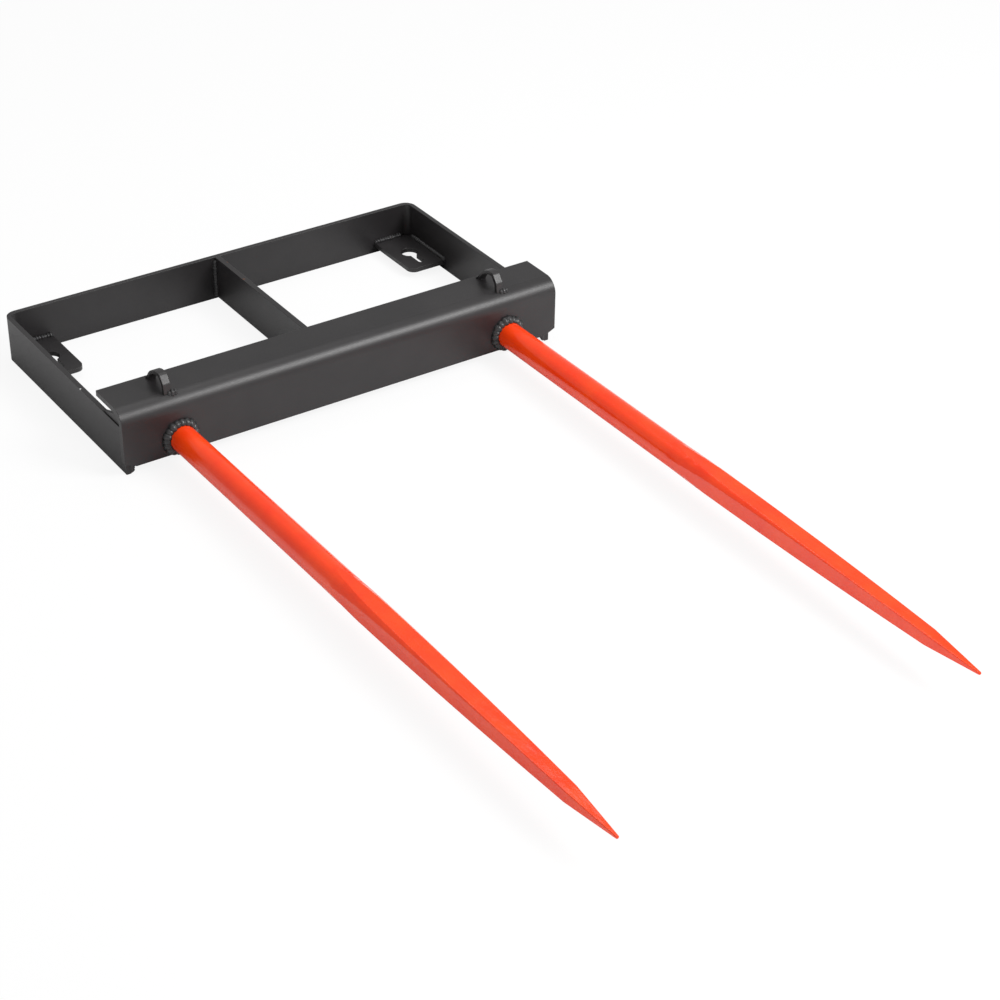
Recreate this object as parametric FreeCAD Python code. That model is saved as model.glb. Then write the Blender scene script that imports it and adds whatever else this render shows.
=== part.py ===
import FreeCAD, Part
import math
import os

# Bucket-mounted twin bale spear.
# X runs across the carrier (+X to the right seen from in front of the points), -Y is
# forward along the tines, Z is up. The finished pieces have their origin on the front face of the
# cross beam, midway between the tines and level with them. While a piece is being made,
# heights are measured from the underside of the side arms. All sizes in millimetres.

# carrier: one flat bar bent into a U, open towards the cross beam
frame_width = 800.0
frame_depth = 456.0
bar_height = 80.0
bar_thickness = 8.0
rear_corner_radius = 20.0

# cross beam: plate folded into an upright face and a flange that runs rearwards
beam_width = 812.0
beam_bottom = 16.5
beam_height = 100.0
plate_thickness = 9.5
flange_depth = 86.0
fold_radius = 26.0
beam_corner_clip_length = 20.0
beam_corner_clip_height = 9.0

# centre divider: upright flat bar from the beam to the rear bar
divider_thickness = 9.5
divider_height = 77.0
divider_nose_length = 30.0
divider_nose_lift = 0.5

# wedge-shaped ribs that close the front of the slot above each arm
rib_thickness = 6.0
rib_length = 72.5
rib_slope_deg = 20.5

# tines: round bar forged square towards the point
tine_spacing = 615.0
tine_axis_height = 45.0
tine_radius = 22.2
tine_reach = 1141.0
tine_total_length = 1245.0
tine_rise_deg = 0.5
tine_toe_in_deg = 0.2
tine_end_chamfer = 2.5
flat_start = 470.0
flat_lead_in = 40.0
swell_position = 560.0
swell_radius = 23.2
middle_position = 805.0
middle_radius = 19.9
shoulder_position = 1040.0
shoulder_radius = 13.3
shoulder_half_side = 10.0
tip_radius = 2.6
tip_half_side = 2.0
tine_hole_clearance = 0.4

# chain loops: bent straps standing on the flange
loop_left_x = -316.5
loop_right_x = 304.0
loop_width = 13.0
loop_thickness = 6.0
loop_height = 29.5
loop_apex_y = 37.0
loop_arc_radius = 42.0
loop_knee_y = 30.8
loop_slope_length = 18.4
loop_slope_deg = 52.0
loop_leg_deg = 82.0
loop_bend_radius = 8.0

# keyhole tabs: flat plates low in the two rear corners
tab_width = 72.5
tab_length = 126.5
tab_thickness = 8.0
tab_bottom = 12.0
tab_corner_radius = 14.0
tab_corner_clip = 15.0
keyhole_from_arm = 38.0
keyhole_from_rear_bar = 66.0
keyhole_radius = 15.5
keyslot_width = 12.0
keyslot_reach = 45.0

# weld beads: radius of each rounded bead, measured from the root of its joint
tine_bead = 10.0
tine_rear_bead = 8.0
loop_front_bead = 6.0
loop_front_bead_setback = 1.5
loop_front_bead_length = 19.0
loop_front_bead_shift = 7.0
loop_rear_bead = 4.5
loop_rear_bead_overhang = 1.5
tab_bead = 5.5
arm_bead = 7.5
divider_bead = 6.0
bead_end_inset = 5.0

# derived positions
half_frame = frame_width / 2
arm_inner = half_frame - bar_thickness
rear_inner = frame_depth - bar_thickness
beam_top = beam_bottom + beam_height
flange_underside = beam_top - plate_thickness
divider_bottom = bar_height - divider_height
loop_top = beam_top + loop_height
left = -1
right = 1


def point(x, y, z):
    return FreeCAD.Vector(x, y, z)


def box(x_low, x_high, y_low, y_high, z_low, z_high):
    corner = point(x_low, y_low, z_low)
    return Part.makeBox(x_high - x_low, y_high - y_low, z_high - z_low, corner)


def side_outline(corners, x_low, width):
    # closed outline given as (y, z) pairs, drawn across the carrier
    loop = [point(x_low, y, z) for y, z in corners]
    face = Part.Face(Part.makePolygon(loop + [loop[0]]))
    return face.extrude(point(width, 0, 0))


def rear_edges(solid, rear_y):
    # upright edges along the rear of a block
    chosen = []
    for edge in solid.Edges:
        low = edge.Vertexes[0].Point
        high = edge.Vertexes[-1].Point
        upright = abs(low.z - high.z) > bar_height / 2
        if upright and abs(low.y - rear_y) < 0.01 and abs(high.y - rear_y) < 0.01:
            chosen.append(edge)
    return chosen


def u_frame():
    outer = box(-half_frame, half_frame, plate_thickness, frame_depth, 0, bar_height)
    outer = outer.makeFillet(rear_corner_radius, rear_edges(outer, frame_depth))
    inner = box(-arm_inner, arm_inner, 0, rear_inner, -1, bar_height + 1)
    inner_radius = rear_corner_radius - bar_thickness
    inner = inner.makeFillet(inner_radius, rear_edges(inner, rear_inner))
    return outer.cut(inner)


def beam_profile():
    # folded plate seen from its end: upright face, fold, flange
    inner_fold = fold_radius - plate_thickness
    fold_y = fold_radius
    fold_z = beam_top - fold_radius
    slant = math.sqrt(0.5)

    def at(y, z):
        return point(-beam_width / 2, y, z)

    outer_arc = Part.Arc(at(0, fold_z),
                         at(fold_y - fold_radius * slant, fold_z + fold_radius * slant),
                         at(fold_y, beam_top))
    inner_arc = Part.Arc(at(fold_y, flange_underside),
                         at(fold_y - inner_fold * slant, fold_z + inner_fold * slant),
                         at(plate_thickness, fold_z))
    edges = [
        Part.makeLine(at(0, beam_bottom), at(0, fold_z)),
        outer_arc.toShape(),
        Part.makeLine(at(fold_y, beam_top), at(flange_depth, beam_top)),
        Part.makeLine(at(flange_depth, beam_top), at(flange_depth, flange_underside)),
        Part.makeLine(at(flange_depth, flange_underside), at(fold_y, flange_underside)),
        inner_arc.toShape(),
        Part.makeLine(at(plate_thickness, fold_z), at(plate_thickness, beam_bottom)),
        Part.makeLine(at(plate_thickness, beam_bottom), at(0, beam_bottom)),
    ]
    return Part.Wire(edges)


def plain_beam():
    return Part.Face(beam_profile()).extrude(point(beam_width, 0, 0))


def corner_clip(side):
    # triangle taken off each lower corner of the upright face
    end = side * beam_width / 2
    inner = end - side * beam_corner_clip_length
    corners = [
        point(end, 0, beam_bottom),
        point(inner, 0, beam_bottom),
        point(end, 0, beam_bottom + beam_corner_clip_height),
    ]
    face = Part.Face(Part.makePolygon(corners + [corners[0]]))
    return face.extrude(point(0, plate_thickness, 0))


def front_beam():
    beam = plain_beam()
    for side in (left, right):
        hole = Part.makeCylinder(tine_radius + tine_hole_clearance, 3 * plate_thickness,
                                 point(side * tine_spacing / 2, -plate_thickness,
                                       tine_axis_height),
                                 point(0, 1, 0))
        beam = beam.cut(hole).cut(corner_clip(side))
    return beam


def centre_divider():
    nose = plate_thickness + divider_nose_length
    corners = [
        (plate_thickness, bar_height),
        (rear_inner, bar_height),
        (rear_inner, divider_bottom),
        (nose, divider_bottom),
        (plate_thickness, beam_bottom + divider_nose_lift),
    ]
    return side_outline(corners, -divider_thickness / 2, divider_thickness)


def slot_rib(side):
    # triangular filler on top of the arm, tucked up into the fold of the beam
    rise = rib_length * math.tan(math.radians(rib_slope_deg))
    corners = [
        (plate_thickness, bar_height),
        (plate_thickness + rib_length, bar_height),
        (plate_thickness, bar_height + rise),
    ]
    x_low = arm_inner if side == right else -arm_inner - rib_thickness
    rib = side_outline(corners, x_low, rib_thickness)
    return rib.cut(plain_beam())


def tine_envelope():
    # turned outline of the bar: plain shank, slight swell, curved run-down, short point
    shank_end = tine_total_length - tine_reach

    def at(radius, forward):
        return point(radius, -forward, 0)

    run_down = Part.Arc(at(swell_radius, swell_position),
                        at(middle_radius, middle_position),
                        at(shoulder_radius, shoulder_position))
    tip_start = tine_reach - tip_radius
    tip_bulge = tip_radius * math.sqrt(0.5)
    nose = Part.Arc(at(tip_radius, tip_start),
                    at(tip_bulge, tip_start + tip_bulge),
                    at(0, tine_reach))
    edges = [
        Part.makeLine(at(0, -shank_end), at(tine_radius - tine_end_chamfer, -shank_end)),
        Part.makeLine(at(tine_radius - tine_end_chamfer, -shank_end),
                      at(tine_radius, tine_end_chamfer - shank_end)),
        Part.makeLine(at(tine_radius, tine_end_chamfer - shank_end),
                      at(tine_radius, flat_start)),
        Part.makeLine(at(tine_radius, flat_start), at(swell_radius, swell_position)),
        run_down.toShape(),
        Part.makeLine(at(shoulder_radius, shoulder_position), at(tip_radius, tip_start)),
        nose.toShape(),
        Part.makeLine(at(0, tine_reach), at(0, -shank_end)),
    ]
    face = Part.Face(Part.Wire(edges))
    return face.revolve(point(0, 0, 0), point(0, 1, 0), 360)


def square_section(half_side, forward):
    loop = [
        point(-half_side, -forward, -half_side),
        point(half_side, -forward, -half_side),
        point(half_side, -forward, half_side),
        point(-half_side, -forward, half_side),
    ]
    return Part.makePolygon(loop + [loop[0]])


def forged_flats():
    # four-sided taper that the forging presses into the bar, then the four-sided point
    run = shoulder_position - flat_start
    lead_half = tine_radius + (tine_radius - shoulder_half_side) * flat_lead_in / run
    lead = flat_start - flat_lead_in
    stock_half = 2 * tine_radius
    stock = box(-stock_half, stock_half, -lead, tine_total_length - tine_reach + 1,
                -stock_half, stock_half)
    taper = Part.makeLoft([square_section(lead_half, lead),
                           square_section(shoulder_half_side, shoulder_position)],
                          True, True)
    spike = Part.makeLoft([square_section(shoulder_half_side, shoulder_position),
                           square_section(tip_half_side, tine_reach + 1)],
                          True, True)
    return stock.fuse(taper).fuse(spike)


def tine(side):
    body = tine_envelope().common(forged_flats()).removeSplitter()
    body.rotate(point(0, 0, 0), point(1, 0, 0), -tine_rise_deg)
    body.rotate(point(0, 0, 0), point(0, 0, 1), -side * tine_toe_in_deg)
    body.translate(point(side * tine_spacing / 2, 0, tine_axis_height))
    return body


def inset_corner(corner, first_lean, second_lean, inset):
    # corner between two straight runs of a strap, moved in by the same depth from both
    first = (-math.sin(first_lean), math.cos(first_lean))
    second = (-math.sin(second_lean), math.cos(second_lean))
    spread = 1 + first[0] * second[0] + first[1] * second[1]
    y = corner[0] - inset * (first[0] + second[0]) / spread
    z = corner[1] - inset * (first[1] + second[1]) / spread
    return y, z


def arch_block(inset, x_low):
    # solid arch under a given depth of the strap: front leg, slope, crown, rear curve
    slope = math.radians(loop_slope_deg)
    leg = math.radians(loop_leg_deg)
    knee = (loop_knee_y, loop_top)
    ankle = (knee[0] - loop_slope_length * math.cos(slope),
             knee[1] - loop_slope_length * math.sin(slope))
    knee = inset_corner(knee, 0, slope, inset)
    ankle = inset_corner(ankle, slope, leg, inset)
    base = loop_top - loop_arc_radius
    toe_y = ankle[0] - (ankle[1] - base) / math.tan(leg)
    arc = loop_arc_radius - inset
    slant = math.sqrt(0.5)

    def at(y, z):
        return point(x_low, y, z)

    crown = at(loop_apex_y, base + arc)
    heel = at(loop_apex_y + arc, base)
    rear_curve = Part.Arc(crown, at(loop_apex_y + arc * slant, base + arc * slant), heel)
    outline = Part.Wire([
        Part.makeLine(at(toe_y, base), at(*ankle)),
        Part.makeLine(at(*ankle), at(*knee)),
        Part.makeLine(at(*knee), crown),
        rear_curve.toShape(),
        Part.makeLine(heel, at(toe_y, base)),
    ])
    block = Part.Face(outline).extrude(point(loop_width, 0, 0))
    bends = [edge for edge in block.Edges if crosswise_at(edge, (knee, ankle))]
    return block.makeFillet(loop_bend_radius - inset, bends)


def crosswise_at(edge, places):
    # true for an edge that runs across the carrier through one of the (y, z) places
    middle = edge.CenterOfMass
    along = abs(edge.Vertexes[0].Point.x - edge.Vertexes[-1].Point.x)
    near = [math.hypot(middle.y - y, middle.z - z) < 0.01 for y, z in places]
    return along > 1 and any(near)


def beam_space():
    # the beam with the space under its flange, used to trim what stands on its skin
    under = box(-beam_width / 2, beam_width / 2, plate_thickness, flange_depth,
                beam_bottom, flange_underside)
    return plain_beam().fuse(under)


def chain_loop(x_centre):
    x_low = x_centre - loop_width / 2
    strap = arch_block(0, x_low).cut(arch_block(loop_thickness, x_low))
    return strap.cut(beam_space())


def keyhole_tab(side):
    y_front = rear_inner - tab_length
    x_free = arm_inner - tab_width
    tab = box(x_free, arm_inner, y_front, rear_inner, tab_bottom,
              tab_bottom + tab_thickness)
    free_corner = []
    for edge in tab.Edges:
        middle = edge.CenterOfMass
        if abs(middle.x - x_free) < 0.01 and abs(middle.y - y_front) < 0.01:
            free_corner.append(edge)
    tab = tab.makeFillet(tab_corner_radius, free_corner)
    clip = [
        point(arm_inner + 1, rear_inner + 1, tab_bottom),
        point(arm_inner + 1, rear_inner - tab_corner_clip, tab_bottom),
        point(arm_inner - tab_corner_clip, rear_inner + 1, tab_bottom),
    ]
    wedge = Part.Face(Part.makePolygon(clip + [clip[0]]))
    tab = tab.cut(wedge.extrude(point(0, 0, tab_thickness)))
    hole_x = arm_inner - keyhole_from_arm
    hole_y = rear_inner - keyhole_from_rear_bar
    up = point(0, 0, 1)
    round_hole = Part.makeCylinder(keyhole_radius, tab_thickness,
                                   point(hole_x, hole_y, tab_bottom), up)
    slot_end = hole_y - keyslot_reach + keyslot_width / 2
    slot_round = Part.makeCylinder(keyslot_width / 2, tab_thickness,
                                   point(hole_x, slot_end, tab_bottom), up)
    slot = box(hole_x - keyslot_width / 2, hole_x + keyslot_width / 2, slot_end, hole_y,
               tab_bottom, tab_bottom + tab_thickness)
    tab = tab.cut(round_hole.fuse(slot_round).fuse(slot)).removeSplitter()
    if side == left:
        tab = tab.mirror(point(0, 0, 0), point(1, 0, 0))
    return tab


def bead(start, end, radius, neighbours):
    # round bead laid along a joint, with domed ends, trimmed to the plates it joins
    along = end - start
    rod = Part.makeCylinder(radius, along.Length, start, along)
    for centre in (start, end):
        rod = rod.fuse(Part.makeSphere(radius, centre))
    for plate in neighbours:
        rod = rod.cut(plate)
    return largest_solid(rod.removeSplitter())


def largest_solid(shape):
    return max(shape.Solids, key=lambda solid: solid.Volume)


def ring_bead(side, y_level, radius, outward, beam, bar):
    centre = point(side * tine_spacing / 2, y_level, tine_axis_height)
    ring = Part.makeTorus(tine_radius, radius, centre, point(0, 1, 0))
    reach = tine_spacing / 4
    y_low = min(y_level, y_level + outward * radius * 2)
    keep = box(centre.x - reach, centre.x + reach, y_low, y_low + radius * 2,
               beam_bottom, beam_top)
    return largest_solid(ring.common(keep).cut(beam).cut(bar))


def tab_welds(side, frame, tab):
    top = tab_bottom + tab_thickness
    outer = arm_inner - tab_corner_clip - bead_end_inset
    free = arm_inner - tab_width + bead_end_inset
    rear_start = point(side * outer, rear_inner, top)
    rear_end = point(side * free, rear_inner, top)
    side_start = point(side * arm_inner, rear_inner - tab_corner_clip - bead_end_inset, top)
    side_end = point(side * arm_inner, rear_inner - tab_length + bead_end_inset, top)
    rear = bead(rear_start, rear_end, tab_bead, [frame, tab])
    along_arm = bead(side_start, side_end, tab_bead, [frame, tab])
    return rear, along_arm


def above_tab(weld):
    # the bead lies on the upper face only
    top = tab_bottom + tab_thickness
    keep = box(-half_frame, half_frame, 0, frame_depth, top, top + 4 * tab_bead)
    return largest_solid(weld.common(keep))


def arm_weld(side, frame, beam, rib):
    low = point(side * arm_inner, plate_thickness, arm_bead + 1)
    high = point(side * arm_inner, plate_thickness, bar_height - bead_end_inset)
    weld = bead(low, high, arm_bead, [frame, beam, rib])
    inside = box(-arm_inner, arm_inner, plate_thickness, frame_depth, 0, bar_height)
    return largest_solid(weld.common(inside))


def divider_weld(side, y_joint, inward, low, neighbours):
    x = side * divider_thickness / 2
    start = point(x, y_joint, low)
    end = point(x, y_joint, bar_height - bead_end_inset - divider_bead)
    weld = bead(start, end, divider_bead, neighbours)
    y_low = min(y_joint, y_joint + inward * 2 * divider_bead)
    x_low = min(x, x + side * 2 * divider_bead)
    keep = box(x_low, x_low + 2 * divider_bead, y_low, y_low + 2 * divider_bead,
               0, bar_height)
    return largest_solid(weld.common(keep))


def loop_welds(x_centre, strap):
    # a short bead round the toe of the front leg, a straight one behind the rear leg
    skin = beam_space()
    feet = [edge.CenterOfMass for edge in strap.Edges
            if abs(edge.Vertexes[0].Point.x - edge.Vertexes[-1].Point.x) > 1
            and edge.CenterOfMass.z < beam_top + 0.01]
    toe = min(feet, key=lambda place: place.y)
    heel = max(feet, key=lambda place: place.y)
    half = loop_front_bead_length / 2 - loop_front_bead
    middle = x_centre + loop_front_bead_shift
    seat_y = toe.y + loop_front_bead_setback
    seat_z = toe.z + loop_front_bead_setback
    front = bead(point(middle - half, seat_y, seat_z), point(middle + half, seat_y, seat_z),
                 loop_front_bead, [skin, strap])
    half = loop_width / 2 + loop_rear_bead_overhang - loop_rear_bead
    rear = bead(point(x_centre - half, heel.y, heel.z), point(x_centre + half, heel.y, heel.z),
                loop_rear_bead, [skin, strap])
    return front, rear


def build():
    frame = u_frame()
    beam = front_beam()
    divider = centre_divider()
    made = {
        "u_frame": frame,
        "front_beam": beam,
        "centre_divider": divider,
    }
    for name, side, loop_x in (("left", left, loop_left_x), ("right", right, loop_right_x)):
        bar = tine(side)
        tab = keyhole_tab(side)
        strap = chain_loop(loop_x)
        rib = slot_rib(side)
        made[name + "_tine"] = bar
        made[name + "_keyhole_tab"] = tab
        made[name + "_chain_loop"] = strap
        made[name + "_slot_rib"] = rib
        made[name + "_tine_weld"] = ring_bead(side, 0, tine_bead, -1, beam, bar)
        made[name + "_tine_rear_weld"] = ring_bead(side, plate_thickness, tine_rear_bead, 1,
                                                   beam, bar)
        rear, along_arm = tab_welds(side, frame, tab)
        made[name + "_tab_rear_weld"] = above_tab(rear)
        made[name + "_tab_side_weld"] = above_tab(along_arm)
        front, back = loop_welds(loop_x, strap)
        made[name + "_loop_front_weld"] = front
        made[name + "_loop_rear_weld"] = back
        made[name + "_arm_weld"] = arm_weld(side, frame, beam, rib)
        low = divider_bottom + divider_bead
        made["divider_rear_weld_" + name] = divider_weld(side, rear_inner, -1, low,
                                                         [frame, divider])
        low = beam_bottom + divider_bead
        made["divider_front_weld_" + name] = divider_weld(side, plate_thickness, 1, low,
                                                          [beam, divider])
    return made


os.makedirs("parts", exist_ok=True)
for node, shape in build().items():
    shape.translate(point(0, 0, -tine_axis_height))
    shape.exportStep("parts/" + node + ".step")
    print(node, "valid" if shape.isValid() else "broken", len(shape.Solids), "solid",
          round(shape.Volume), "mm3")
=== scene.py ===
import math
import random

import bpy
from mathutils import Matrix, Vector, noise


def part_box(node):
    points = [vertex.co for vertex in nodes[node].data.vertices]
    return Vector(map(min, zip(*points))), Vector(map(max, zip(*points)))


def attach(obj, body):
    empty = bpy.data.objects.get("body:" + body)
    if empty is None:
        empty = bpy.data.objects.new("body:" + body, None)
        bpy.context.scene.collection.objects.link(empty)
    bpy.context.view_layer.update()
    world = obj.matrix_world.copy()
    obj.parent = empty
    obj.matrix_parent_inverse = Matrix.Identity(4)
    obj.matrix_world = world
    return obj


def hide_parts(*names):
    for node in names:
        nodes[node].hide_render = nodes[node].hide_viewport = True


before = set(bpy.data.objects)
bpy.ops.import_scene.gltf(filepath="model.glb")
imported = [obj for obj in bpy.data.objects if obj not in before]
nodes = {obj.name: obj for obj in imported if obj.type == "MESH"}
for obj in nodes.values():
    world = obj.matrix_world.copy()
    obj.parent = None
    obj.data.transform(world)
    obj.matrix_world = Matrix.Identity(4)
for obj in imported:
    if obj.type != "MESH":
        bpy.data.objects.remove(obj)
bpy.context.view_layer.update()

print("carrier and tines loaded:", len(nodes), "nodes")


# ---------- helpers ----------

def addObject(name, verts, faces, smooth=True):
    mesh = bpy.data.meshes.new(name)
    mesh.from_pydata([tuple(v) for v in verts], [], faces)
    mesh.update()
    if smooth:
        mesh.polygons.foreach_set("use_smooth", [True] * len(mesh.polygons))
    obj = bpy.data.objects.new(name, mesh)
    bpy.context.scene.collection.objects.link(obj)
    return obj


def socketGroup(name, inputs, outputs):
    # empty node group with its sockets, plus its two end nodes
    group = bpy.data.node_groups.new(name, "ShaderNodeTree")
    for label, kind, value in inputs:
        socket = group.interface.new_socket(label, in_out="INPUT", socket_type=kind)
        if value is not None:
            socket.default_value = value
    for label, kind in outputs:
        group.interface.new_socket(label, in_out="OUTPUT", socket_type=kind)
    start = group.nodes.new("NodeGroupInput")
    end = group.nodes.new("NodeGroupOutput")
    return group, start, end


def addNode(tree, kind, values=None, **settings):
    made = tree.nodes.new(kind)
    for key, value in settings.items():
        setattr(made, key, value)
    for key, value in (values or {}).items():
        made.inputs[key].default_value = value
    return made


def join(tree, source, target):
    tree.links.new(source, target)


def useGroup(tree, group, values=None):
    made = tree.nodes.new("ShaderNodeGroup")
    made.node_tree = group
    for key, value in (values or {}).items():
        made.inputs[key].default_value = value
    return made


def newMaterial(name):
    mat = bpy.data.materials.new(name)
    mat.use_nodes = True
    tree = mat.node_tree
    shader = tree.nodes["Principled BSDF"]
    return mat, tree, shader


# ---------- shared effects ----------

def makeCoatGrain():
    # uneven tone and fine orange peel of a sprayed coat
    group, start, end = socketGroup("coatGrain", [
        ("Dark", "NodeSocketColor", (0.02, 0.02, 0.02, 1)),
        ("Light", "NodeSocketColor", (0.04, 0.04, 0.04, 1)),
        ("Patch Scale", "NodeSocketFloat", 6.0),
        ("Peel Scale", "NodeSocketFloat", 600.0),
        ("Rough Low", "NodeSocketFloat", 0.35),
        ("Rough High", "NodeSocketFloat", 0.5),
    ], [
        ("Color", "NodeSocketColor"),
        ("Roughness", "NodeSocketFloat"),
        ("Height", "NodeSocketFloat"),
    ])
    place = addNode(group, "ShaderNodeTexCoord")
    patch = addNode(group, "ShaderNodeTexNoise", {"Detail": 5.0, "Roughness": 0.6})
    join(group, place.outputs["Object"], patch.inputs["Vector"])
    join(group, start.outputs["Patch Scale"], patch.inputs["Scale"])
    peel = addNode(group, "ShaderNodeTexNoise", {"Detail": 3.0, "Roughness": 0.55})
    join(group, place.outputs["Object"], peel.inputs["Vector"])
    join(group, start.outputs["Peel Scale"], peel.inputs["Scale"])
    spread = addNode(group, "ShaderNodeMapRange", {"From Min": 0.32, "From Max": 0.68})
    join(group, patch.outputs["Fac"], spread.inputs["Value"])
    tone = addNode(group, "ShaderNodeMix", data_type="RGBA")
    join(group, spread.outputs["Result"], tone.inputs["Factor"])
    join(group, start.outputs["Dark"], tone.inputs["A"])
    join(group, start.outputs["Light"], tone.inputs["B"])
    join(group, tone.outputs["Result"], end.inputs["Color"])
    sheen = addNode(group, "ShaderNodeMapRange", {"From Min": 0.3, "From Max": 0.7})
    join(group, peel.outputs["Fac"], sheen.inputs["Value"])
    join(group, start.outputs["Rough Low"], sheen.inputs["To Min"])
    join(group, start.outputs["Rough High"], sheen.inputs["To Max"])
    join(group, sheen.outputs["Result"], end.inputs["Roughness"])
    join(group, peel.outputs["Fac"], end.inputs["Height"])
    return group


def makeEdgeWear():
    # mask of the corners, broken up so that the coat looks thin there
    group, start, end = socketGroup("edgeWear", [
        ("Width", "NodeSocketFloat", 0.0012),
        ("Break Scale", "NodeSocketFloat", 120.0),
        ("Amount", "NodeSocketFloat", 0.6),
    ], [("Mask", "NodeSocketFloat")])
    soft = addNode(group, "ShaderNodeBevel", samples=6)
    join(group, start.outputs["Width"], soft.inputs["Radius"])
    flat = addNode(group, "ShaderNodeNewGeometry")
    same = addNode(group, "ShaderNodeVectorMath", operation="DOT_PRODUCT")
    join(group, soft.outputs["Normal"], same.inputs[0])
    join(group, flat.outputs["Normal"], same.inputs[1])
    edge = addNode(group, "ShaderNodeMapRange", {"From Min": 0.995, "From Max": 0.86})
    join(group, same.outputs["Value"], edge.inputs["Value"])
    place = addNode(group, "ShaderNodeTexCoord")
    crumble = addNode(group, "ShaderNodeTexNoise", {"Detail": 6.0, "Roughness": 0.7})
    join(group, place.outputs["Object"], crumble.inputs["Vector"])
    join(group, start.outputs["Break Scale"], crumble.inputs["Scale"])
    bite = addNode(group, "ShaderNodeMapRange", {"From Min": 0.42, "From Max": 0.62})
    join(group, crumble.outputs["Fac"], bite.inputs["Value"])
    both = addNode(group, "ShaderNodeMath", operation="MULTIPLY")
    join(group, edge.outputs["Result"], both.inputs[0])
    join(group, bite.outputs["Result"], both.inputs[1])
    scaled = addNode(group, "ShaderNodeMath", operation="MULTIPLY")
    join(group, both.outputs["Value"], scaled.inputs[0])
    join(group, start.outputs["Amount"], scaled.inputs[1])
    join(group, scaled.outputs["Value"], end.inputs["Mask"])
    return group


def makeChipSpot():
    # ragged spot about a point of the carrier, where the coat is knocked off
    group, start, end = socketGroup("chipSpot", [
        ("Place", "NodeSocketVector", None),
        ("Radius", "NodeSocketFloat", 0.003),
    ], [("Mask", "NodeSocketFloat")])
    place = addNode(group, "ShaderNodeTexCoord")
    ragged = addNode(group, "ShaderNodeTexNoise", {"Scale": 420.0, "Detail": 3.0})
    join(group, place.outputs["Object"], ragged.inputs["Vector"])
    gap = addNode(group, "ShaderNodeVectorMath", operation="DISTANCE")
    join(group, place.outputs["Object"], gap.inputs[0])
    join(group, start.outputs["Place"], gap.inputs[1])
    share = addNode(group, "ShaderNodeMath", operation="DIVIDE")
    join(group, gap.outputs["Value"], share.inputs[0])
    join(group, start.outputs["Radius"], share.inputs[1])
    shaken = addNode(group, "ShaderNodeMath", operation="ADD")
    join(group, share.outputs["Value"], shaken.inputs[0])
    join(group, ragged.outputs["Fac"], shaken.inputs[1])
    inside = addNode(group, "ShaderNodeMapRange", {"From Min": 1.35, "From Max": 1.1})
    join(group, shaken.outputs["Value"], inside.inputs["Value"])
    join(group, inside.outputs["Result"], end.inputs["Mask"])
    return group


coatGrain = makeCoatGrain()
edgeWear = makeEdgeWear()
chipSpot = makeChipSpot()


def makeForgeMarks():
    # shallow hammer marks that start where the round bar is forged flat
    group, start, end = socketGroup("forgeMarks", [
        ("Start", "NodeSocketFloat", 0.47),
        ("Run In", "NodeSocketFloat", 0.08),
    ], [("Height", "NodeSocketFloat")])
    place = addNode(group, "ShaderNodeTexCoord")
    stretch = addNode(group, "ShaderNodeMapping", {"Scale": (70.0, 22.0, 70.0)})
    join(group, place.outputs["Object"], stretch.inputs["Vector"])
    dents = addNode(group, "ShaderNodeTexNoise", {"Scale": 1.0, "Detail": 2.0})
    join(group, stretch.outputs["Vector"], dents.inputs["Vector"])
    parts = addNode(group, "ShaderNodeSeparateXYZ")
    join(group, place.outputs["Object"], parts.inputs["Vector"])
    past = addNode(group, "ShaderNodeMath", operation="ADD")
    join(group, parts.outputs["Y"], past.inputs[0])
    join(group, start.outputs["Start"], past.inputs[1])
    share = addNode(group, "ShaderNodeMath", operation="DIVIDE")
    join(group, past.outputs["Value"], share.inputs[0])
    join(group, start.outputs["Run In"], share.inputs[1])
    fade = addNode(group, "ShaderNodeMapRange", {"From Min": 0.0, "From Max": -1.0})
    join(group, share.outputs["Value"], fade.inputs["Value"])
    both = addNode(group, "ShaderNodeMath", operation="MULTIPLY")
    join(group, dents.outputs["Fac"], both.inputs[0])
    join(group, fade.outputs["Result"], both.inputs[1])
    join(group, both.outputs["Value"], end.inputs["Height"])
    return group


forgeMarks = makeForgeMarks()
print("shared effects ready")


# ---------- finishes ----------

framePaint = {
    "dark": (0.0125, 0.0112, 0.0120, 1),
    "light": (0.0185, 0.0168, 0.0175, 1),
    "worn": (0.075, 0.070, 0.068, 1),
    "patchScale": 9.0,
    "peelScale": 750.0,
    "roughLow": 0.36,
    "roughHigh": 0.48,
    "peelHeight": 0.00006,
    "edgeRadius": 0.0012,
    "wear": 0.5,
}


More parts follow.
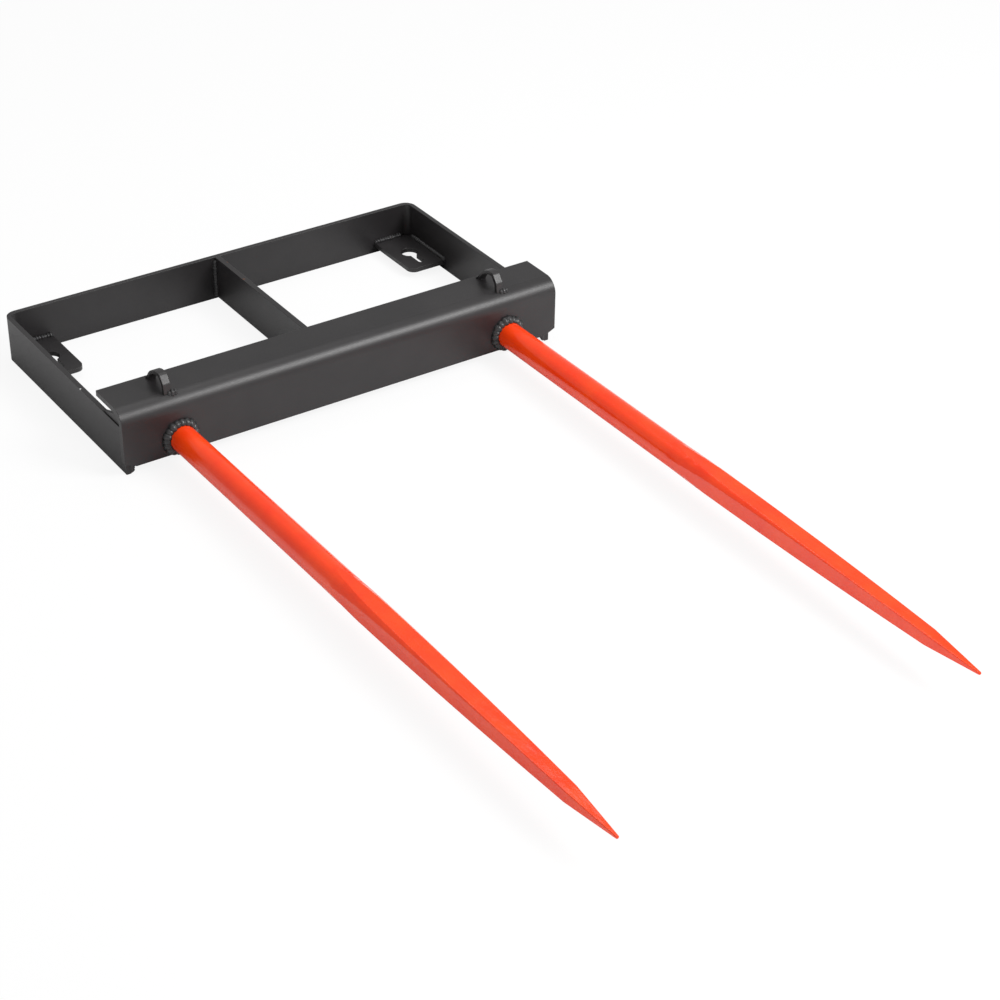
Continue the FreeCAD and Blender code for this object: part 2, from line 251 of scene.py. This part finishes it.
def coatedSteel(name, look, chips=()):
    mat, tree, shader = newMaterial(name)
    grain = useGroup(tree, coatGrain, {
        "Dark": look["dark"], "Light": look["light"], "Patch Scale": look["patchScale"],
        "Peel Scale": look["peelScale"], "Rough Low": look["roughLow"],
        "Rough High": look["roughHigh"]})
    wear = useGroup(tree, edgeWear, {"Width": look["edgeRadius"], "Amount": look["wear"]})
    tone = addNode(tree, "ShaderNodeMix", {"B": look["worn"]}, data_type="RGBA")
    join(tree, wear.outputs["Mask"], tone.inputs["Factor"])
    join(tree, grain.outputs["Color"], tone.inputs["A"])
    colour = tone.outputs["Result"]
    for place, radius, bare in chips:
        spot = useGroup(tree, chipSpot, {"Place": place, "Radius": radius})
        over = addNode(tree, "ShaderNodeMix", {"B": bare}, data_type="RGBA")
        join(tree, spot.outputs["Mask"], over.inputs["Factor"])
        join(tree, colour, over.inputs["A"])
        colour = over.outputs["Result"]
    join(tree, colour, shader.inputs["Base Color"])
    join(tree, grain.outputs["Roughness"], shader.inputs["Roughness"])
    rounded = addNode(tree, "ShaderNodeBevel", {"Radius": look["edgeRadius"]}, samples=6)
    bump = addNode(tree, "ShaderNodeBump", {"Distance": look["peelHeight"]})
    join(tree, grain.outputs["Height"], bump.inputs["Height"])
    join(tree, rounded.outputs["Normal"], bump.inputs["Normal"])
    normal = bump.outputs["Normal"]
    if "forgeDepth" in look:
        marks = useGroup(tree, forgeMarks)
        dented = addNode(tree, "ShaderNodeBump", {"Distance": look["forgeDepth"]})
        join(tree, marks.outputs["Height"], dented.inputs["Height"])
        join(tree, normal, dented.inputs["Normal"])
        normal = dented.outputs["Normal"]
    join(tree, normal, shader.inputs["Normal"])
    return mat


tinePaint = {
    "dark": (0.88, 0.036, 0.002, 1),
    "light": (0.95, 0.062, 0.004, 1),
    "worn": (1.0, 0.16, 0.05, 1),
    "patchScale": 14.0,
    "peelScale": 260.0,
    "roughLow": 0.14,
    "roughHigh": 0.22,
    "peelHeight": 0.00012,
    "forgeDepth": 0.0012,
    "edgeRadius": 0.0025,
    "wear": 0.55,
}

weldPaint = {
    "dark": (0.020, 0.020, 0.021, 1),
    "light": (0.036, 0.035, 0.036, 1),
    "worn": (0.14, 0.14, 0.14, 1),
    "patchScale": 90.0,
    "peelScale": 900.0,
    "roughLow": 0.26,
    "roughHigh": 0.42,
    "peelHeight": 0.00010,
    "edgeRadius": 0.0006,
    "wear": 0.4,
}

# knocks in the coat: place, size, what shows
frameChips = [
    ((0.0055, 0.4195, 0.035), 0.0032, (0.10, 0.035, 0.012, 1)),
    ((-0.0017, 0.3491, 0.035), 0.0028, (0.10, 0.035, 0.012, 1)),
    ((-0.3998, 0.1613, 0.035), 0.0026, (0.55, 0.55, 0.56, 1)),
]

frameMat = coatedSteel("framePaint", framePaint, frameChips)
tineMat = coatedSteel("tinePaint", tinePaint)
weldMat = coatedSteel("weldPaint", weldPaint)
for label, obj in nodes.items():
    obj.data.materials.clear()
    if label.endswith("_tine"):
        obj.data.materials.append(tineMat)
    elif "weld" in label:
        obj.data.materials.append(weldMat)
    else:
        obj.data.materials.append(frameMat)
print("finishes ready")


# ---------- weld beads ----------

rippleSettings = {
    "step": 0.00065,      # along the bead
    "profile": 9,         # points round the bead
    "sink": 0.0005,       # how far the root lies in the plates
    "lumpNoise": 0.10,
    "fineNoise": 0.045,
    "fineScale": 420.0,
    "lumpScale": 130.0,
    "crestPower": 0.6,
    "ownLevel": 0.8,      # how much whole crescents differ
    "domeLength": 0.9,    # of the radius
    "domeStart": 0.03,
}


def rippled(along, pitch, depth, seed):
    # overlapping crescents left by the arc, each a little different
    turn = along / pitch
    crest = abs(math.sin(math.pi * turn)) ** rippleSettings["crestPower"]
    own = noise.noise(Vector((math.floor(turn) * 3.7, seed, 0.5)))
    return 1 - depth * (1 - crest) + depth * rippleSettings["ownLevel"] * own


def beadBody(name, stations, hides, closed=False):
    # each station: root, first wall's way, second wall's way, radius, lowest height or None
    look = rippleSettings
    count = look["profile"]
    verts, faces = [], []
    rough = random.Random(len(name) * 7)
    shift = Vector((rough.random(), rough.random(), rough.random())) * 9
    for root, wallA, wallB, radius, floorZ in stations:
        verts.append(root - (wallA + wallB) * look["sink"])
        for index in range(count):
            turn = math.pi / 2 * index / (count - 1)
            way = wallA * math.cos(turn) + wallB * math.sin(turn)
            spot = root + way * radius
            grain = noise.noise(spot * look["fineScale"] + shift)
            lump = noise.noise(spot * look["lumpScale"] + shift)
            edge = math.sin(2 * turn)
            wide = radius * (1 + edge * (look["fineNoise"] * grain + look["lumpNoise"] * lump))
            spot = root + way * wide
            if floorZ is not None:
                spot.z = max(spot.z, floorZ)
            verts.append(spot)
    ring = count + 1
    total = len(stations)
    spans = total if closed else total - 1
    for station in range(spans):
        here, there = station * ring, (station + 1) % total * ring
        for index in range(ring):
            nextIndex = (index + 1) % ring
            faces.append((here + index, there + index, there + nextIndex, here + nextIndex))
    if not closed:
        faces.append(tuple(range(ring)))
        faces.append(tuple((total - 1) * ring + index for index in reversed(range(ring))))
    piece = addObject(name, verts, faces)
    piece.data.materials.append(weldMat)
    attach(piece, "root")
    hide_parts(*hides)
    return piece


def straightBead(name, hides, look):
    start, end = Vector(look["start"]), Vector(look["end"])
    wallA, wallB = Vector(look["wallA"]), Vector(look["wallB"])
    length = (end - start).length
    count = max(12, int(length / rippleSettings["step"]))
    stations = []
    for index in range(count + 1):
        share = index / count
        along = share * length
        dome = min(along, length - along) / (look["radius"] * rippleSettings["domeLength"])
        dome = math.sqrt(max(0.0, 1 - (1 - min(dome, 1)) ** 2))
        dome = dome * (1 - rippleSettings["domeStart"]) + rippleSettings["domeStart"]
        size = look["radius"] * dome
        size *= rippled(along, look["pitch"], look["depth"], look["seed"])
        stations.append((start.lerp(end, share), wallA, wallB, size, None))
    return beadBody(name, stations, hides)


def ringBead(name, hides, look):
    centre = Vector(look["centre"])
    out = Vector((0, look["outward"], 0))
    around = 2 * math.pi * look["tineRadius"]
    count = int(around / rippleSettings["step"])
    stations = []
    for index in range(count):
        turn = 2 * math.pi * index / count
        way = Vector((math.cos(turn), 0, math.sin(turn)))
        along = around * index / count
        size = look["radius"] * rippled(along, around / look["lumps"], look["depth"],
                                        look["seed"])
        size *= 1 + look["swell"] * math.cos(turn - look["swellTurn"])
        root = centre + way * look["tineRadius"]
        stations.append((root, way, out, size, look["lowest"]))
    return beadBody(name, stations, hides, closed=True)


# where the joints run, in metres
joints = {
    "tineX": 0.3075,
    "tineRadius": 0.0222,
    "plate": 0.0095,
    "bar": 0.008,
    "armInner": 0.392,
    "dividerHalf": 0.00475,
    "flangeTop": 0.0715,
    "heelIn": 0.004,
    "toeY": 0.0188,
    "toeZ": 0.0698,
}


def tineBeads(side, sign):
    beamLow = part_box("front_beam")[0]
    tineX = sign * joints["tineX"]
    ringBead(side + "_tine_weld_bead", [side + "_tine_weld"], {
        "centre": (tineX, beamLow.y, 0.0), "outward": -1,
        "tineRadius": joints["tineRadius"], "radius": 0.0098, "lumps": 19, "depth": 0.24,
        "seed": 3.0 + sign, "swell": 0.05, "swellTurn": 4.1 if sign < 0 else 1.6,
        "lowest": beamLow.z})
    ringBead(side + "_tine_rear_bead", [side + "_tine_rear_weld"], {
        "centre": (tineX, beamLow.y + joints["plate"], 0.0), "outward": 1,
        "tineRadius": joints["tineRadius"], "radius": 0.0078, "lumps": 22, "depth": 0.15,
        "seed": 9.0 + sign, "swell": 0.03, "swellTurn": 1.0, "lowest": beamLow.z})


def tabBeads(side, sign):
    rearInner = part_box("u_frame")[1].y - joints["bar"]
    arm = sign * joints["armInner"]
    low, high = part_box(side + "_tab_rear_weld")
    straightBead(side + "_tab_rear_bead", [side + "_tab_rear_weld"], {
        "start": (low.x, rearInner, low.z), "end": (high.x, rearInner, low.z),
        "wallA": (0, -1, 0), "wallB": (0, 0, 1), "radius": 0.0056, "pitch": 0.0052,
        "depth": 0.34, "seed": 5.0 + sign})
    low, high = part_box(side + "_tab_side_weld")
    straightBead(side + "_tab_side_bead", [side + "_tab_side_weld"], {
        "start": (arm, low.y, low.z), "end": (arm, high.y, low.z),
        "wallA": (-sign, 0, 0), "wallB": (0, 0, 1), "radius": 0.0054, "pitch": 0.0055,
        "depth": 0.28, "seed": 6.0 + sign})


def beamBeads(side, sign):
    # the upright joints: arm to beam, then the divider at both of its ends
    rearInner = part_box("u_frame")[1].y - joints["bar"]
    plate, half = joints["plate"], sign * joints["dividerHalf"]
    arm = sign * joints["armInner"]
    for name, weld, x, y, wallA, wallB, radius, pitch, depth, seed in (
            (side + "_arm_bead", side + "_arm_weld", arm, plate, -sign, 1,
             0.0073, 0.006, 0.22, 7.0),
            ("divider_rear_bead_" + side, "divider_rear_weld_" + side, half, rearInner,
             sign, -1, 0.0059, 0.0055, 0.26, 8.0),
            ("divider_front_bead_" + side, "divider_front_weld_" + side, half, plate,
             sign, 1, 0.0058, 0.0055, 0.26, 10.0)):
        low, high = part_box(weld)
        straightBead(name, [weld], {
            "start": (x, y, low.z), "end": (x, y, high.z), "wallA": (wallA, 0, 0),
            "wallB": (0, wallB, 0), "radius": radius, "pitch": pitch, "depth": depth,
            "seed": seed + sign})


def loopBeads(side, sign):
    low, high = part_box(side + "_loop_rear_weld")
    heelY = low.y + joints["heelIn"]
    straightBead(side + "_loop_rear_bead", [side + "_loop_rear_weld"], {
        "start": (low.x, heelY, joints["flangeTop"]),
        "end": (high.x, heelY, joints["flangeTop"]),
        "wallA": (0, 1, 0), "wallB": (0, 0, 1), "radius": 0.0044, "pitch": 0.005,
        "depth": 0.3, "seed": 11.0 + sign})
    low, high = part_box(side + "_loop_front_weld")
    straightBead(side + "_loop_front_bead", [side + "_loop_front_weld"], {
        "start": (low.x, joints["toeY"], joints["toeZ"]),
        "end": (high.x, joints["toeY"], joints["toeZ"]),
        "wallA": (0, -0.94, -0.34), "wallB": (0, -0.17, 0.985), "radius": 0.0066,
        "pitch": 0.0062, "depth": 0.42, "seed": 12.0 + sign})


for side, sign in (("left", -1), ("right", 1)):
    tineBeads(side, sign)
    tabBeads(side, sign)
    beamBeads(side, sign)
    loopBeads(side, sign)
print("weld beads laid")


# ---------- floor, light and camera ----------

studio = {
    "floorSize": 14.0,
    "floorTone": (0.86, 0.86, 0.86, 1),
    "shadowLeft": 0.12,
    "worldDiffuse": 0.5,
    "lamps": [
        # name, place, aim, width, height, watts
        ("keyLamp", (1.7, -2.3, 2.5), (0.0, -0.3, 0.0), 1.5, 1.5, 125.0),
        ("topLamp", (0.2, 0.6, 3.2), (0.0, -0.2, 0.0), 2.4, 2.4, 30.0),
    ],
}


def makeFloor(look):
    low = min(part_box(label)[0].z for label in nodes)
    half = look["floorSize"] / 2
    verts = [(-half, -half, low), (half, -half, low), (half, half, low), (-half, half, low)]
    floor = addObject("floor", verts, [(0, 1, 2, 3)], smooth=False)
    mat, tree, shader = newMaterial("floorPaper")
    shader.inputs["Base Color"].default_value = look["floorTone"]
    shader.inputs["Roughness"].default_value = 0.9
    shader.inputs["Specular IOR Level"].default_value = 0.1
    seen = addNode(tree, "ShaderNodeLightPath")
    glow = addNode(tree, "ShaderNodeEmission", {"Color": (1, 1, 1, 1), "Strength": 1.0})
    share = addNode(tree, "ShaderNodeMath", operation="MULTIPLY")
    share.inputs[1].default_value = 1 - look["shadowLeft"]
    mix = addNode(tree, "ShaderNodeMixShader")
    join(tree, seen.outputs["Is Camera Ray"], share.inputs[0])
    join(tree, share.outputs["Value"], mix.inputs["Fac"])
    join(tree, shader.outputs["BSDF"], mix.inputs[1])
    join(tree, glow.outputs["Emission"], mix.inputs[2])
    join(tree, mix.outputs["Shader"], tree.nodes["Material Output"].inputs["Surface"])
    floor.data.materials.append(mat)


def makeWorld(look):
    world = bpy.data.worlds.new("studio")
    bpy.context.scene.world = world
    world.use_nodes = True
    tree = world.node_tree
    back = tree.nodes["Background"]
    back.inputs["Color"].default_value = (1, 1, 1, 1)
    seen = addNode(tree, "ShaderNodeLightPath")
    level = addNode(tree, "ShaderNodeMapRange", {"To Min": look["worldDiffuse"], "To Max": 1.0})
    join(tree, seen.outputs["Is Camera Ray"], level.inputs["Value"])
    join(tree, level.outputs["Result"], back.inputs["Strength"])


def makeLamps(look):
    for name, place, aim, width, height, watts in look["lamps"]:
        data = bpy.data.lights.new(name, "AREA")
        data.shape = "RECTANGLE"
        data.size = width
        data.size_y = height
        data.energy = watts
        lamp = bpy.data.objects.new(name, data)
        lamp.location = place
        lamp.rotation_euler = (Vector(aim) - Vector(place)).to_track_quat("-Z", "Y").to_euler()
        bpy.context.scene.collection.objects.link(lamp)


view = {
    "place": (-1.6740, -2.8612, 1.9283),
    "azimuth": -34.5878,
    "elevation": 33.0461,
    "roll": 0.9634,
    "lens": 84.821,
}


def makeCamera(look):
    a, e, r = (math.radians(look[key]) for key in ("azimuth", "elevation", "roll"))
    back = Vector((math.sin(a) * math.cos(e), -math.cos(a) * math.cos(e), math.sin(e)))
    level = Vector((math.cos(a), math.sin(a), 0.0))
    lift = back.cross(level)
    right = math.cos(r) * level + math.sin(r) * lift
    up = -math.sin(r) * level + math.cos(r) * lift
    data = bpy.data.cameras.new("camera")
    data.lens = look["lens"]
    data.sensor_width = 36.0
    data.clip_end = 60.0
    camera = bpy.data.objects.new("camera", data)
    turn = Matrix((right, up, back)).transposed().to_4x4()
    camera.matrix_world = Matrix.Translation(look["place"]) @ turn
    bpy.context.scene.collection.objects.link(camera)
    bpy.context.scene.camera = camera


makeFloor(studio)
makeWorld(studio)
makeLamps(studio)
makeCamera(view)
bpy.context.scene.view_settings.view_transform = "Standard"
print("floor, light and camera ready")
